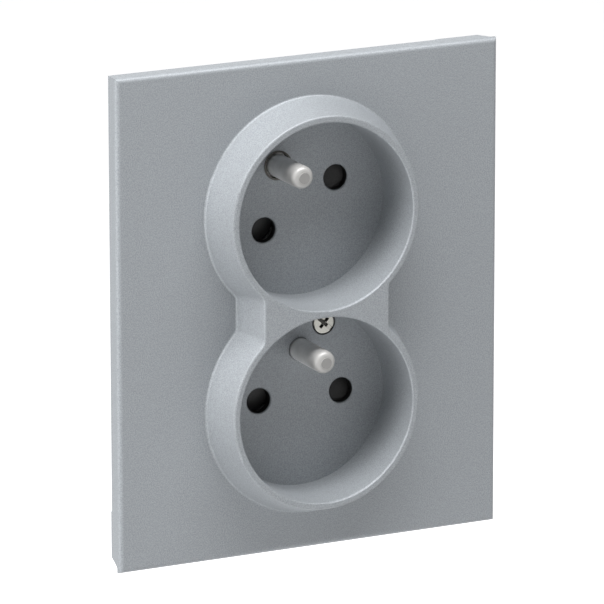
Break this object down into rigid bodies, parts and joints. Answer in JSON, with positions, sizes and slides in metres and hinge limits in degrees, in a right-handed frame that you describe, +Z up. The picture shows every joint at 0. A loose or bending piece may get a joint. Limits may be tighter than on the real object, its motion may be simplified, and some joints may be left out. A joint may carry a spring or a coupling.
{
  "type": "double wall socket with earth pins",
  "caption": "Flush wall socket with a flat plate, a raised double rim, two round wells with earth pins, turning shutters, steel support frame and rear terminals.",
  "frame": {"origin": "on the wall surface, midway between the two box screws", "axes": "+X to the right seen from the room, +Y into the wall, +Z up; the plate faces -Y"},
  "size_m": [0.087, 0.0425, 0.1046],
  "materials": {
    "grey_plastic": "satin moulded plastic in an aluminium look",
    "zinc_steel": "zinc-plated steel",
    "nickel_brass": "satin nickel-plated brass",
    "dull_bush": "dull grey-brown sleeve",
    "black_plastic": "black moulded plastic",
    "spring_steel": "bright spring wire",
    "base_plastic": "light grey insulating plastic",
    "brass": "plain brass"
  },
  "bodies": {
    "socket": {"cover": "grey_plastic", "cover_screw": "zinc_steel", "pin_bush_upper": "dull_bush", "earth_pin_upper": "nickel_brass", "earth_pin_lower": "nickel_brass", "shutter_spring_upper": "spring_steel", "shutter_spring_lower": "spring_steel", "support_frame": "zinc_steel", "frame_screws": "zinc_steel", "contact_base": "base_plastic", "earth_strap": "brass", "contact_rail_left": "brass", "contact_rail_right": "brass", "terminal_left": "brass", "terminal_right": "brass", "terminal_earth": "brass", "terminal_screws": "zinc_steel", "rear_cover": "base_plastic", "housing_screws": "zinc_steel"},
    "shutter_upper_body": {"shutter_upper": "black_plastic"},
    "shutter_lower_body": {"shutter_lower": "black_plastic"}
  },
  "joints": [
    {"name": "shutter_upper_turn", "type": "hinge", "parent": "socket", "child": "shutter_upper_body", "pos_m": [0, 0, 0.02055], "axis": [0, 1, 0], "range_deg": [0, 35], "stiffness_Nm_per_rad": 0.004, "springref_deg": -34.38, "deforming": ["shutter_spring_upper"]},
    {"name": "shutter_lower_turn", "type": "hinge", "parent": "socket", "child": "shutter_lower_body", "pos_m": [0, 0, -0.02055], "axis": [0, 1, 0], "range_deg": [0, 35], "stiffness_Nm_per_rad": 0.004, "springref_deg": -34.38, "deforming": ["shutter_spring_lower"]}
  ]
}
